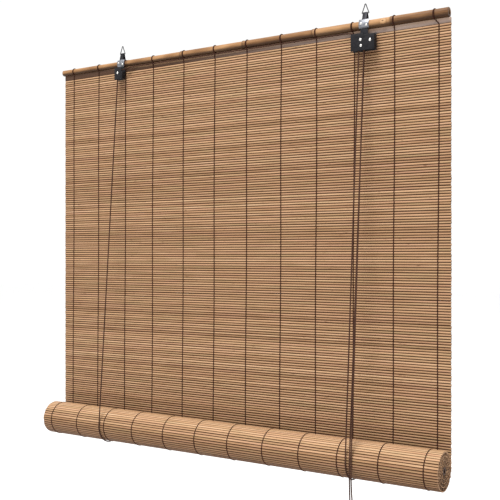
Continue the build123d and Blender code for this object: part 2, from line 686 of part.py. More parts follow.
def coil_ring(grow):
    """The outer shape of the tied coil, grown all round by a distance."""
    outer = COIL_RADIUS + COIL_BUNDLE / 2 + grow
    inner = COIL_RADIUS - COIL_BUNDLE / 2 - grow
    depth = COIL_BUNDLE + 2 * grow
    ring_face = RegularPolygon(outer, COIL_SIDES) - RegularPolygon(inner, COIL_SIDES)
    x, y, z = COIL_MIDDLE
    plane = Plane((x, y + depth / 2, z), x_dir=(1, 0, 0), z_dir=(0, -1, 0))
    block = extrude(plane * ring_face, depth, dir=(0, -1, 0))
    rims = block.edges().group_by(Axis.Y)
    return chamfer(rims[0] + rims[-1], COIL_BEVEL_SHARE * COIL_BUNDLE)


def coil_tie():
    """The band that holds the coil's turns together at its lowest point."""
    x, y, z = COIL_MIDDLE
    band = coil_ring(COIL_TIE_THICKNESS) - coil_ring(0)
    reach = y - COIL_BUNDLE, y + COIL_BUNDLE
    return band & bar(x, COIL_TIE_WIDTH, reach, (z - 2 * COIL_RADIUS, z))


def lump(middle, radius):
    """A knot: an eight-sided lump about as wide as it is high."""
    x, y, z = middle
    plane = Plane((x, y, z - radius), x_dir=(1, 0, 0), z_dir=(0, 0, 1))
    block = extrude(plane * RegularPolygon(radius, 8), 2 * radius, dir=(0, 0, 1))
    rims = block.edges().group_by(Axis.Z)
    return chamfer(rims[0] + rims[-1], KNOT_BEVEL_SHARE * radius)


def end_knot():
    """The knot that ends both pull cords, hanging from the coil's tie."""
    x, y, z = COIL_MIDDLE
    low = z - (COIL_RADIUS + COIL_BUNDLE / 2 + COIL_TIE_THICKNESS) * cos(pi / COIL_SIDES)
    return lump((x, y, low - END_KNOT_RADIUS), END_KNOT_RADIUS)


def build():
    """Every piece of the blind by node name."""
    lock_axles = [LOCK_AXLE, ANVIL_AXLE, CAM_AXLE]
    pulley_axle = (0.0, -PULLEY_AXLE_DROP)
    no_step = (PULLEY_LEFT, PULLEY_TOP)
    pulley_neck = PULLEY_AXLE_DROP + NECK_PAST_RIVET
    lock_neck = -ANVIL_AXLE[1] + NECK_PAST_RIVET
    pulley = (LEFT_X, PULLEY_LEFT, PULLEY_RIGHT, PULLEY_TOP, PULLEY_BOTTOM, PULLEY_WEB_DROP)
    lock = (RIGHT_X, LOCK_LEFT, LOCK_RIGHT, LOCK_TOP, LOCK_BOTTOM, LOCK_STEP_TOP)
    rivets = [rivet(LEFT_X, pulley_axle, True), rivet(RIGHT_X, LOCK_AXLE, True)]
    rivets += [rivet(RIGHT_X, ANVIL_AXLE, True), rivet(RIGHT_X, CAM_AXLE, False)]
    return {
        "head_pole": [head_pole()],
        "hanging_mat": [hanging_mat()],
        "warp_threads": warp_threads(),
        "pole_ties": pole_ties(),
        "rolled_mat": [rolled_mat()],
        "roll_threads": roll_threads(),
        "bottom_pole": [bottom_pole()],
        "left_hanging_ring": [ring(LEFT_X)],
        "right_hanging_ring": [ring(RIGHT_X)],
        "left_hanger_strap": [strap(LEFT_X, pulley_neck, [pulley_axle])],
        "right_hanger_strap": [strap(RIGHT_X, lock_neck, lock_axles[:2])],
        "nails": nails(),
        "pulley_housing": [housing(*pulley, no_step, [pulley_axle])],
        "lock_housing": [housing(*lock, (-LOCK_STEP_LEFT, LOCK_STEP_TOP), lock_axles)],
        "pulley_sheave": [sheave(LEFT_X, pulley_axle, 1)],
        "lock_sheave": [sheave(RIGHT_X, LOCK_AXLE, 2)],
        "lock_cam": [lock_cam()],
        "anvil_bush": [anvil_bush()],
        "axle_rivets": rivets,
        "crossing_cords": [left_crossing(), right_crossing()],
        "left_lift_front": [lift_front(LEFT_LIFT)],
        "right_lift_front": [lift_front(RIGHT_LIFT)],
        "lift_slings": [lift_sling(LEFT_LIFT), lift_sling(RIGHT_LIFT)],
        "left_lift_back": [lift_back(LEFT_LIFT, LEFT_X)],
        "right_lift_back": [lift_back(RIGHT_LIFT, RIGHT_X)],
        "lift_cord_knots": lift_knots(),
        "left_pull_upper": [pull_upper(-1)],
        "right_pull_upper": [pull_upper(1)],
        "left_pull_tail": [pull_tail(-1)],
        "right_pull_tail": [pull_tail(1)],
        "pull_cord_coil": [coil_ring(0)],
        "coil_tie": [coil_tie()],
        "pull_cord_knot": [end_knot()],
    }


os.makedirs("parts", exist_ok=True)
for name, solids in build().items():
    piece = solids[0] if len(solids) == 1 else Compound(children=solids)
    export_step(piece, f"parts/{name}.step")
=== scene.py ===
import math
import random

import bpy
from mathutils import Matrix, Vector


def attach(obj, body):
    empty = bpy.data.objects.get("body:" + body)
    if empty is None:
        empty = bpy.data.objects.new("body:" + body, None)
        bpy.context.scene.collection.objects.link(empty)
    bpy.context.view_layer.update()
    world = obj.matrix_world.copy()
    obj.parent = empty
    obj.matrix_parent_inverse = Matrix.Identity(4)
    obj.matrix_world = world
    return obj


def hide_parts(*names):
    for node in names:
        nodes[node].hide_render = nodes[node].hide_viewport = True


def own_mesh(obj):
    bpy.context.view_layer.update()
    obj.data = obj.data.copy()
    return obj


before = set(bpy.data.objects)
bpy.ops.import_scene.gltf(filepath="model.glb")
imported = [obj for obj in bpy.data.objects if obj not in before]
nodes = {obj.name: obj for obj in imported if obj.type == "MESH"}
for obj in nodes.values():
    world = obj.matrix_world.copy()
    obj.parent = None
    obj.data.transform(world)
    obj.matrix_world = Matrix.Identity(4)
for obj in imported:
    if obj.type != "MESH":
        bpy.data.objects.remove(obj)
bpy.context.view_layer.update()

# Camera: level, to the right of the blind, so that the right end is nearer and the pole's
# underside shows. The lift of the frame keeps the horizon a little under the middle.
eye = bpy.data.cameras.new("eye")
eye.sensor_width = 36
eye.lens = 59.9
eye.shift_y = 0.012
camera = bpy.data.objects.new("camera", eye)
bpy.context.collection.objects.link(camera)
camera.location = (1.061, -1.225, -0.4024)
camera.rotation_euler = (math.pi / 2, 0, math.radians(32.2))
bpy.context.scene.camera = camera

# Plain pale floor well below the hanging blind, a white room, and soft studio lights: a broad
# one high above the front, a weak one from the right.
bpy.ops.object.select_all(action="DESELECT")
bpy.ops.mesh.primitive_plane_add(size=60, location=(0.25, 0, -1.75))
floor = bpy.context.object
floor.name = "floor"
paint = bpy.data.materials.new("pale_floor")
paint.use_nodes = True
matt = paint.node_tree.nodes["Principled BSDF"]
matt.inputs["Base Color"].default_value = (0.97, 0.97, 0.97, 1)
matt.inputs["Roughness"].default_value = 0.9
floor.data.materials.append(paint)
room = bpy.data.worlds.new("white_room")
room.use_nodes = True
room.node_tree.nodes["Background"].inputs["Color"].default_value = (1, 1, 1, 1)
room.node_tree.nodes["Background"].inputs["Strength"].default_value = 1.03
bpy.context.scene.world = room
bpy.context.scene.view_settings.view_transform = "Standard"
for name, place, aim, size, watts in (
    ("key", (0.1, -2.4, 4.6), (0.25, 0, -0.4), 2.0, 430),
    ("fill", (2.3, -1.4, 0.2), (0.3, 0, -0.4), 1.6, 3),
):
    lamp = bpy.data.lights.new(name, "AREA")
    lamp.size = size
    lamp.energy = watts
    light = bpy.data.objects.new(name, lamp)
    bpy.context.collection.objects.link(light)
    light.location = place
    light.rotation_euler = (Vector(aim) - Vector(place)).to_track_quat("-Z", "Y").to_euler()

# Head pole: a brown cane a little thicker at the right, with raised joints, sawn ends and a
# hollow up to the first joint. Turned from its outline, with a trimmed twig scar.
chance = random.Random(7)


class Shade:
    """A value that changes over a surface; arithmetic on it adds Math nodes."""

    def __init__(self, finish, socket):
        self.finish = finish
        self.socket = socket

    def math(self, operation, first, second):
        return self.finish.node("ShaderNodeMath", {"operation": operation}, {0: first, 1: second})

    def __add__(self, other):
        return self.math("ADD", self, other)

    def __sub__(self, other):
        return self.math("SUBTRACT", self, other)

    def __rsub__(self, other):
        return self.math("SUBTRACT", other, self)

    def __mul__(self, other):
        return self.math("MULTIPLY", self, other)

    __radd__ = __add__
    __rmul__ = __mul__


class Finish:
    """A material: its surface shader, and one method that adds any other node."""

    def __init__(self, name, **sockets):
        self.material = bpy.data.materials.new(name)
        self.material.use_nodes = True
        self.tree = self.material.node_tree
        self.surface = self.tree.nodes["Principled BSDF"]
        for socket, value in sockets.items():
            self.surface.inputs[socket.replace("_", " ")].default_value = value

    def node(self, kind, settings=None, sockets=None, out=0):
        made = self.tree.nodes.new(kind)
        for name, value in (settings or {}).items():
            if name == "stops":
                ramp = made.color_ramp.elements
                while len(ramp) < len(value):
                    ramp.new(1)
                for stop, (place, colour) in zip(ramp, value):
                    stop.position = place
                    stop.color = (*colour, 1)
            else:
                setattr(made, name, value)
        for key, value in (sockets or {}).items():
            if isinstance(value, Shade):
                self.tree.links.new(value.socket, made.inputs[key])
            else:
                made.inputs[key].default_value = value
        return Shade(self, made.outputs[out])

    def place(self, stretch=(1, 1, 1)):
        """Object coordinates, stretched."""
        spot = self.node("ShaderNodeTexCoord", out="Object")
        return self.node("ShaderNodeMapping", {}, {"Vector": spot, "Scale": stretch})

    def noise(self, stretch, detail=3.0, rough=0.55):
        spot = self.place(stretch)
        sockets = {"Vector": spot, "Scale": 1.0, "Detail": detail, "Roughness": rough}
        return self.node("ShaderNodeTexNoise", {}, sockets)

    def ramp(self, value, stops):
        return self.node("ShaderNodeValToRGB", {"stops": stops}, {"Fac": value})

    def mix(self, factor, first, second):
        """The first colour, turned into the second by the factor."""
        first = first if isinstance(first, Shade) else (*first, 1)
        second = second if isinstance(second, Shade) else (*second, 1)
        sockets = {0: factor, 6: first, 7: second}
        return self.node("ShaderNodeMix", {"data_type": "RGBA"}, sockets, out=2)

    def mark(self, name):
        """A number painted on the mesh."""
        return self.node("ShaderNodeAttribute", {"attribute_name": name}, out="Fac")

    def feed(self, **sockets):
        for socket, value in sockets.items():
            self.tree.links.new(value.socket, self.surface.inputs[socket.replace("_", " ")])

    def bump(self, height, strength, distance):
        sockets = {"Strength": strength, "Distance": distance, "Height": height}
        self.feed(Normal=self.node("ShaderNodeBump", {}, sockets, out="Normal"))


def only(piece):
    """Selects one object and nothing else."""
    bpy.ops.object.select_all(action="DESELECT")
    piece.select_set(True)
    bpy.context.view_layer.objects.active = piece


def from_points(name, points, edges=(), faces=()):
    """A new object from points in millimetres."""
    mesh = bpy.data.meshes.new(name)
    mesh.from_pydata([[c / 1000 for c in p] for p in points], edges, faces)
    piece = bpy.data.objects.new(name, mesh)
    bpy.context.collection.objects.link(piece)
    return piece


def painted(piece, name, values):
    """Paints one number on every point of a mesh."""
    piece.data.attributes.new(name, "FLOAT", "POINT").data.foreach_set("value", values)


def finished(piece, finish, body, slot, *stands_for):
    """Gives a piece its material, its body and the solids that it stands for."""
    piece.data.materials.clear()
    piece.data.materials.append(finish.material)
    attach(piece, body)
    if stands_for:
        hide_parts(*stands_for)
    return piece


def spun(name, outline, centre, axis, steps):
    """Turns an outline in millimetres about an axis into a closed piece."""
    piece = from_points(name, outline, [(k, k + 1) for k in range(len(outline) - 1)])
    only(piece)
    bpy.ops.object.mode_set(mode="EDIT")
    bpy.ops.mesh.select_all(action="SELECT")
    middle = [c / 1000 for c in centre]
    bpy.ops.mesh.spin(steps=steps, angle=2 * math.pi, center=middle, axis=axis)
    bpy.ops.mesh.select_all(action="SELECT")
    bpy.ops.mesh.remove_doubles(threshold=2e-6)
    bpy.ops.mesh.normals_make_consistent(inside=False)
    bpy.ops.object.mode_set(mode="OBJECT")
    bpy.ops.object.shade_smooth_by_angle(angle=0.7)
    return piece


pole_z = -33.4
pole_left, pole_right = -155.0, 646.0
pole_joints = (14.0, 142.0, 277.0, 415.0, 553.0)
pole_radii = (5.737, 6.155, 6.524, 6.907, 7.295, 7.619)
bore_depth = 60
left_bore, left_mouth = 3.0, 3.2
right_bore, right_mouth = 3.2, 3.6
chamfer = 0.5
scar_x = 541
scar_size = (7.0, 4.6, 1.7)
scar_seat = 6.8
outline = [(pole_left + bore_depth, 0, 0), (pole_left + bore_depth, 0, left_bore)]
outline += [(pole_left, 0, left_mouth)]
outline += [(pole_left, 0, pole_radii[0] - chamfer), (pole_left + chamfer, 0, pole_radii[0])]
stops = [pole_left, *pole_joints, pole_right]
for k, radius in enumerate(pole_radii):
    span = stops[k + 1] - stops[k]
    for share in (0.12, 0.3, 0.5, 0.7, 0.88):
        outline.append((stops[k] + share * span, 0, radius - 0.12 * math.sin(math.pi * share)))
    if k < len(pole_joints):
        x, after = pole_joints[k], pole_radii[k + 1]
        outline += [(x - 3.2, 0, radius - 0.1), (x - 1.5, 0, radius + 0.3)]
        outline += [(x - 0.7, 0, after + 0.45), (x - 0.1, 0, after + 0.12)]
        outline += [(x + 0.5, 0, after + 0.1), (x + 1.1, 0, after + 0.5)]
        outline += [(x + 1.9, 0, after + 0.3), (x + 3.4, 0, after - 0.05)]
outline += [(pole_right - chamfer, 0, pole_radii[-1]), (pole_right, 0, pole_radii[-1] - chamfer)]
outline += [(pole_right, 0, right_mouth), (pole_right - bore_depth, 0, right_bore)]
outline += [(pole_right - bore_depth, 0, 0)]
pole = spun("head_pole_cane", outline, (0, 0, 0), (1, 0, 0), 40)
length_tones = (0.06, 0.06, 0.06, -0.1, 0.16, -0.1)
rings, shade_below, lengths = [], [], []
for v in pole.data.vertices:
    near = min(abs(v.co.x * 1000 - x - 0.2) for x in pole_joints)
    lengths.append(length_tones[sum(v.co.x * 1000 > x for x in pole_joints)])
    rings.append(max(0.0, 1 - near / 3.0))
    # Painted shade: the lower side of the pole is marked so its colour is darkened there.
    reach = max(math.hypot(v.co.y, v.co.z), 1e-6)
    shade_below.append(min(1.0, max(0.0, -0.15 - 1.9 * v.co.z / reach)))
    v.co.z += pole_z / 1000
painted(pole, "ring", rings)
painted(pole, "under", shade_below)
painted(pole, "length", lengths)
painted(pole, "scar", [0.0] * len(pole.data.vertices))
bpy.ops.object.select_all(action="DESELECT")
bpy.ops.mesh.primitive_uv_sphere_add(segments=16, ring_count=10, radius=0.001)
scar = bpy.context.object
stub = [max(0.0, 1 - math.hypot(v.co.x, v.co.y) * 1000) for v in scar.data.vertices]
scar.data.transform(Matrix.Diagonal((*scar_size, 1)))
facing = Matrix.Rotation(math.radians(84), 4, "X")
seat = Matrix.Translation((scar_x / 1000, 0, pole_z / 1000)) @ facing
scar.data.transform(seat @ Matrix.Translation((0, 0, scar_seat / 1000)))
painted(scar, "ring", [0.0] * len(stub))
painted(scar, "under", [0.0] * len(stub))
painted(scar, "length", [length_tones[4]] * len(stub))
painted(scar, "scar", stub)
bpy.ops.object.shade_smooth()
only(pole)
scar.select_set(True)
bpy.ops.object.join()
cane = Finish("brown_cane", Roughness=0.42, Specular_IOR_Level=0.12)
streak = cane.noise((35, 900, 900), 4)
cloud = cane.noise((16, 60, 60), 2)
fleck = cane.noise((160, 700, 700), 5, 0.7)
tone = streak * 0.5 + cloud * 0.9 - 0.2 + cane.mark("length")
colour = cane.ramp(
    tone,
    [
        (0.18, (0.08, 0.035, 0.014)),
        (0.45, (0.19, 0.095, 0.04)),
        (0.7, (0.32, 0.175, 0.08)),
        (0.95, (0.44, 0.26, 0.13)),
    ],
)
colour = cane.mix(cane.mark("ring") * 0.6, colour, (0.06, 0.028, 0.013))
trim = cane.mark("scar") + (fleck - 0.5) * 0.8
pale_rim = cane.ramp(trim, [(0.1, (0, 0, 0)), (0.45, (0.7, 0.7, 0.7))])
dark_eye = cane.ramp(trim, [(0.72, (0, 0, 0)), (0.85, (0.8, 0.8, 0.8))])
colour = cane.mix(pale_rim, colour, (0.44, 0.27, 0.14))
colour = cane.mix(dark_eye, colour, (0.05, 0.022, 0.01))
# Painted shade: the pole's underside is darkened towards near black.
colour = cane.mix(cane.mark("under") * 0.84, colour, (0.02, 0.008, 0.004))
speck = cane.ramp(fleck, [(0.66, (0, 0, 0)), (0.74, (1, 1, 1))])
colour = cane.mix(speck * 0.55, colour, (0.045, 0.022, 0.012))
cane.feed(Base_Color=colour, Roughness=0.32 + streak * 0.3)
cane.bump(streak + fleck * 0.5, 0.25, 0.0006)
finished(pole, cane, "head", "cane", "head_pole")

# Sticks of the hanging mat: split bamboo laid edge to edge, each a little different, the first
# one wider and greyer. One stick is shaped from a block and every other is a copy of it.
mat_left = -151.0
mat_width = 800.0
mat_top = -41.95
stick_pitch = 4.17
stick_depth = 2.75
stick_overlap = 0.16
stick_bevel = 1.05
top_height = 7.5
top_rise_left, top_rise_right = 3.1, 1.0
stick_count = 161
upper_count = 58
lower_count = stick_count - upper_count
mat_drop = 679
roll_rise = 426.9


def block_stick(name, height):
    """One stick: a long block with its four long edges bevelled, cut into lengths."""
    bpy.ops.object.select_all(action="DESELECT")
    bpy.ops.mesh.primitive_cube_add(size=1)
    stick = bpy.context.object
    stick.name = name
    stick.scale = (mat_width / 1000, stick_depth / 1000, (height + stick_overlap) / 1000)
    bpy.ops.object.transform_apply(location=False, rotation=False, scale=True)
    for edge in stick.data.edges:
        a, b = (stick.data.vertices[k].co for k in edge.vertices)
        edge.select = abs(a.x - b.x) > 0.1
    bpy.ops.object.mode_set(mode="EDIT")
    bpy.context.tool_settings.mesh_select_mode = (False, True, False)
    bpy.ops.mesh.bevel(offset=stick_bevel / 1000, segments=2, affect="EDGES")
    bpy.ops.mesh.select_all(action="DESELECT")
    bpy.ops.object.mode_set(mode="OBJECT")
    for edge in stick.data.edges:
        a, b = (stick.data.vertices[k].co for k in edge.vertices)
        edge.select = abs(a.x - b.x) > 0.1
    bpy.ops.object.mode_set(mode="EDIT")
    bpy.ops.mesh.subdivide(number_cuts=7)
    bpy.ops.object.mode_set(mode="OBJECT")
    bpy.context.tool_settings.mesh_select_mode = (True, False, False)
    # Painted shade in the grooves between sticks: the bevels are marked to be darkened, the lower
    # one wider than the upper, as light falls from above.
    edge_z = max(v.co.z for v in stick.data.vertices)
    edges = []
    for v in stick.data.vertices:
        side = v.co.z / edge_z
        edges.append(max(0.0, 1 - (1 - abs(side)) / (0.62 if side < 0 else 0.42)))
    painted(stick, "edge", edges)
    bpy.ops.object.shade_smooth_by_angle(angle=0.9)
    return stick


def laid(pattern, y, z, turn, tone, wobble=0.09, thin=0.92, slip=0.4):
    """A copy of a stick at a place in millimetres, turned about its length and made its own."""
    stick = bpy.data.objects.new(pattern.name, pattern.data.copy())
    bpy.context.collection.objects.link(stick)
    waves = []
    for _ in range(2):
        length, phase = chance.uniform(0.12, 0.5), chance.uniform(0, 7)
        waves.append((length, phase, wobble / 1000 * chance.uniform(0.4, 1)))
    thin += chance.uniform(-0.04, 0.04)
    slip = slip / 1000 * chance.uniform(-1, 1)
    for v in stick.data.vertices:
        shift = 0.0
        for length, phase, size in waves:
            shift += size * math.sin(6.283 * v.co.x / length + phase)
        v.co.y = v.co.y * thin + shift * 0.7
        v.co.z += shift
        v.co.x += slip
    centre = ((mat_left + mat_width / 2) / 1000, y / 1000, z / 1000)
    stick.data.transform(Matrix.Translation(centre) @ Matrix.Rotation(turn, 4, "X"))
    painted(stick, "tone", [tone] * len(stick.data.vertices))
    painted(stick, "sawn", [tone * 37.7 % 1] * len(stick.data.vertices))
    # The painted groove shade is made stronger or weaker at random for each stick.
    for mark in stick.data.attributes["edge"].data:
        mark.value *= 0.72 + 0.66 * (tone * 91.3 % 1)
    return stick


def joined(name, pieces):
    """Joins pieces into one object at the origin."""
    bpy.ops.object.select_all(action="DESELECT")
    for piece in pieces:
        piece.select_set(True)
    bpy.context.view_layer.objects.active = pieces[0]
    bpy.ops.object.join()
    pieces[0].name = name
    return pieces[0]


def stick_tone():
    """Most sticks are alike, some are paler or browner."""
    return min(1.0, max(0.0, chance.gauss(0.5, 0.2)))


bamboo = Finish("split_bamboo", Roughness=0.55, Specular_IOR_Level=0.1)
own = bamboo.mark("tone")
grain = bamboo.noise((22, 1500, 1500), 4)
drift = bamboo.noise((17, 260, 260), 2)
blotch = bamboo.noise((75, 420, 420), 2, 0.4)
fine = bamboo.noise((120, 2600, 2600), 3)
tone = own * 0.3 + grain * 0.6 + drift * 0.3 - 0.1
colour = bamboo.ramp(
    tone,
    [
        (0.15, (0.162, 0.076, 0.032)),
        (0.42, (0.346, 0.194, 0.099)),
        (0.62, (0.47, 0.286, 0.158)),
        (0.9, (0.61, 0.42, 0.268)),
    ],
)
patch = bamboo.noise((13, 230, 230), 2)
ruddy = bamboo.ramp(patch, [(0.5, (0, 0, 0)), (0.72, (0.6, 0.6, 0.6))])
straw = bamboo.ramp(patch, [(0.28, (0.6, 0.6, 0.6)), (0.48, (0, 0, 0))])
colour = bamboo.mix(ruddy, colour, (0.4, 0.218, 0.134))
colour = bamboo.mix(straw, colour, (0.31, 0.21, 0.105))
knot = bamboo.ramp(blotch, [(0.7, (0, 0, 0)), (0.78, (1, 1, 1))])
colour = bamboo.mix(knot * 0.65, colour, (0.13, 0.062, 0.03))
# Painted shade: surfaces facing down are darkened, up to 62 %, fading out by the time they face
# sideways, as light falls from above.
normal = bamboo.node("ShaderNodeNewGeometry", out="Normal")
rising = bamboo.node("ShaderNodeSeparateXYZ", {}, {0: normal}, out="Z")
painted_toplight_shade = bamboo.ramp(rising + 1, [(0, (0.62, 0.62, 0.62)), (1, (0, 0, 0))])
colour = bamboo.mix(painted_toplight_shade, colour, (0.055, 0.023, 0.009))
sideways = bamboo.node("ShaderNodeSeparateXYZ", {}, {0: normal}, out="X")
sideways = sideways.math("ABSOLUTE", sideways, 0.0)
end_on = bamboo.ramp(sideways, [(0.5, (0, 0, 0)), (0.7, (1, 1, 1))])
# Painted shade in the grooves between sticks: the marked bevels are turned near black, less so on
# the cut ends.
groove_shade = bamboo.ramp(bamboo.mark("edge"), [(0.03, (0, 0, 0)), (0.42, (1, 1, 1))])
colour = bamboo.mix(groove_shade * (1 - end_on * 0.45) * 0.97, colour, (0.036, 0.013, 0.0045))
sawn = [(0.3, (0.03, 0.013, 0.007)), (0.42, (0.15, 0.08, 0.043)), (0.95, (0.36, 0.22, 0.13))]
colour = bamboo.mix(end_on * 0.8, colour, bamboo.ramp(bamboo.mark("sawn"), sawn))
grey = bamboo.mark("grey")
colour = bamboo.mix(grey * (drift * 0.9 + 0.2), colour, (0.3, 0.225, 0.19))
bamboo.feed(Base_Color=colour, Roughness=0.45 + grain * 0.3)
bamboo.bump(grain + fine * 0.4 - knot * 0.5, 0.3, 0.0005)

wide_stick = block_stick("wide_stick", top_height)
stick = block_stick("stick", stick_pitch)
first_stick = laid(wide_stick, 0, mat_top - top_height / 2, 0, 0.62, 0.12)
first_points = len(first_stick.data.vertices)
for v in first_stick.data.vertices:
    if v.co.z * 1000 > mat_top - top_height / 2:
        leftness = 1 - (v.co.x * 1000 - mat_left) / mat_width
        v.co.z += (top_rise_right + (top_rise_left - top_rise_right) * leftness) / 1000
        # The painted groove shade along the first stick's top edge is kept at the left end only,
        # fading out between 50 mm left and 50 mm right of the left ring.
        groove_shade_kept = 1 - min(1.0, max(0.0, (v.co.x + 0.05) / 0.1))
        first_stick.data.attributes["edge"].data[v.index].value *= groove_shade_kept
upper, lower = [first_stick], []
for k in range(stick_count):
    z = mat_top - top_height - (k + 0.5) * stick_pitch
    (upper if k < upper_count else lower).append(laid(stick, 0, z, 0, stick_tone()))
mat_upper = joined("mat_upper", upper)
mat_lower = joined("mat_lower", lower)
for piece in (mat_upper, mat_lower):
    paler = [0.0] * len(piece.data.vertices)
    if piece is mat_upper:
        for k in range(first_points):
            paler[k] = min(1.0, max(0.1, (piece.data.vertices[k].co.x - 0.1) / 0.4))
    painted(piece, "grey", paler)
    finished(piece, bamboo, "head", "split_bamboo", "hanging_mat")
split = mat_top - top_height - upper_count * stick_pitch
left_over = 1 - (roll_rise + 0.3) / 1000 / (lower_count * stick_pitch / 1000)
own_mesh(mat_lower)

# Warp threads: dark twined thread, twelve runs down each face, one bead over every stick. A bead
# is shaped from a ball and repeated down the mat.
thread_slips = (1.5, -1.0, -1.0, -2.6, 0.0, 0.4, 0.0, 0.4, -0.5, -0.8, -0.4, 3.0)
thread_margin = 24
thread_spacing = 68.6
thread_lean = 3.6
bead_size = (1.05, 0.65, 2.25)
bead_slant = 0.16
threads = []
for k, slip in enumerate(thread_slips):
    threads.append(mat_left + thread_margin + thread_spacing * k + slip)


def bead(name):
    """One stitch of a thread over a stick, upright and a little slanted."""
    bpy.ops.object.select_all(action="DESELECT")
    bpy.ops.mesh.primitive_uv_sphere_add(segments=6, ring_count=5, radius=0.001)
    made = bpy.context.object
    made.name = name
    bpy.ops.object.mode_set(mode="EDIT")
    bpy.ops.mesh.select_all(action="SELECT")
    bpy.ops.transform.resize(value=bead_size)
    bpy.ops.object.mode_set(mode="OBJECT")
    made.data.transform(Matrix.Rotation(bead_slant, 4, "Y"))
    bpy.ops.object.shade_smooth()
    return made


def run_of_beads(name, x, y, top, count):
    """A run of stitches down one face of the mat."""
    made = bead(name)
    made.data.transform(Matrix.Translation((x / 1000, y / 1000, (top - stick_pitch / 2) / 1000)))
    repeat = made.modifiers.new("down", "ARRAY")
    repeat.count = count
    repeat.use_relative_offset = False
    repeat.use_constant_offset = True
    repeat.constant_offset_displace = (0, 0, -stick_pitch / 1000)
    only(made)
    bpy.ops.object.modifier_apply(modifier="down")
    for v in made.data.vertices:
        v.co.x += 0.00022 * math.sin(v.co.z * 900 + x) + 0.0005 * math.sin(v.co.z * 14 + 2.1 * x)
        v.co.x -= thread_lean / mat_drop * (mat_top / 1000 - v.co.z)
    return made


thread = Finish("twined_thread", Roughness=0.85, Specular_IOR_Level=0.05)
twist = thread.noise((900, 900, 500), 3)
fade = thread.noise((25, 25, 25), 1)
colour = thread.ramp(
    twist * 0.6 + fade * 0.4,
    [(0.25, (0.017, 0.006, 0.004)), (0.7, (0.048, 0.018, 0.011))],
)
thread.feed(Base_Color=colour)
thread.bump(twist, 0.5, 0.0003)
face_y = stick_depth / 2 + 0.12
front_split = split + 2 * stick_pitch
start = mat_top - top_height
runs_upper, runs_front, runs_back = [], [], []
for x in threads:
    runs_upper.append(run_of_beads("thread", x, -face_y, start, upper_count - 2))
    runs_upper.append(run_of_beads("thread", x, face_y, start, upper_count))
    runs_front.append(run_of_beads("thread", x, -face_y, front_split, lower_count - 2))
    runs_back.append(run_of_beads("thread", x, face_y, split, lower_count))
finished(joined("threads_upper", runs_upper), thread, "head", "warp_thread", "warp_threads")
for name, runs, origin in (
    ("threads_front", runs_front, front_split),
    ("threads_back", runs_back, split),
):
    lower_runs = finished(joined(name, runs), thread, "head", "warp_thread", "warp_threads")
    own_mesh(lower_runs)

# Pole ties: the same thread taken twice round the pole on a slant, knotted low in front and
# stitched down over the first stick. The ties at the right sit a little left of their threads,
# so their stitches lean.
tie_drop = 11
tie_radius = 0.9
tie_gap = 0.55
tie_slips = (0.0, 0.0, 0.0, 0.0, 0.0, 0.0, 0.0, 0.0, -1.2, -3.6, -1.2, -7.5)
loops = []
for x, slip in zip(threads, tie_slips):
    radius = pole_radii[sum(x > joint for joint in pole_joints)]
    for slant, shift in ((0.16, -0.5), (-0.1, 0.5)):
        bpy.ops.object.select_all(action="DESELECT")
        bpy.ops.mesh.primitive_torus_add(
            major_segments=28,
            minor_segments=6,
            major_radius=(radius + tie_gap) / 1000,
            minor_radius=tie_radius / 1000,
        )
        loop = bpy.context.object
        slanted = Matrix.Rotation(slant, 4, "Z") @ Matrix.Rotation(math.pi / 2, 4, "Y")
        centre = Matrix.Translation(((x + slip + shift) / 1000, 0, pole_z / 1000))
        loop.data.transform(centre @ slanted)
        bpy.ops.object.shade_smooth()
        loops.append(loop)
    lump = bead("tie_knot")
    lump.data.transform(Matrix.Diagonal((1.7, 2.1, 0.75, 1)))
    place = (x + slip + 0.3, -(radius * 0.55 + 0.4), pole_z - radius * 0.8 - 0.9)
    lump.data.transform(Matrix.Translation([c / 1000 for c in place]))
    loops.append(lump)
    for side in (-1, 1):
        for step in (0, 1):
            stitch = bead("tie_stitch")
            stitch.data.transform(Matrix.Scale(1.15, 4, Vector((0, 0, 1))))
            stitch.data.transform(Matrix.Rotation(math.atan2(slip, tie_drop), 4, "Y"))
            across = x - 0.2 + slip * (0.6 - 0.4 * step)
            down = mat_top - top_height * (0.27 + 0.46 * step)
            place = (across, side * (face_y + 0.1), down)
            stitch.data.transform(Matrix.Translation([c / 1000 for c in place]))
            loops.append(stitch)
finished(joined("ties", loops), thread, "head", "warp_thread", "pole_ties")

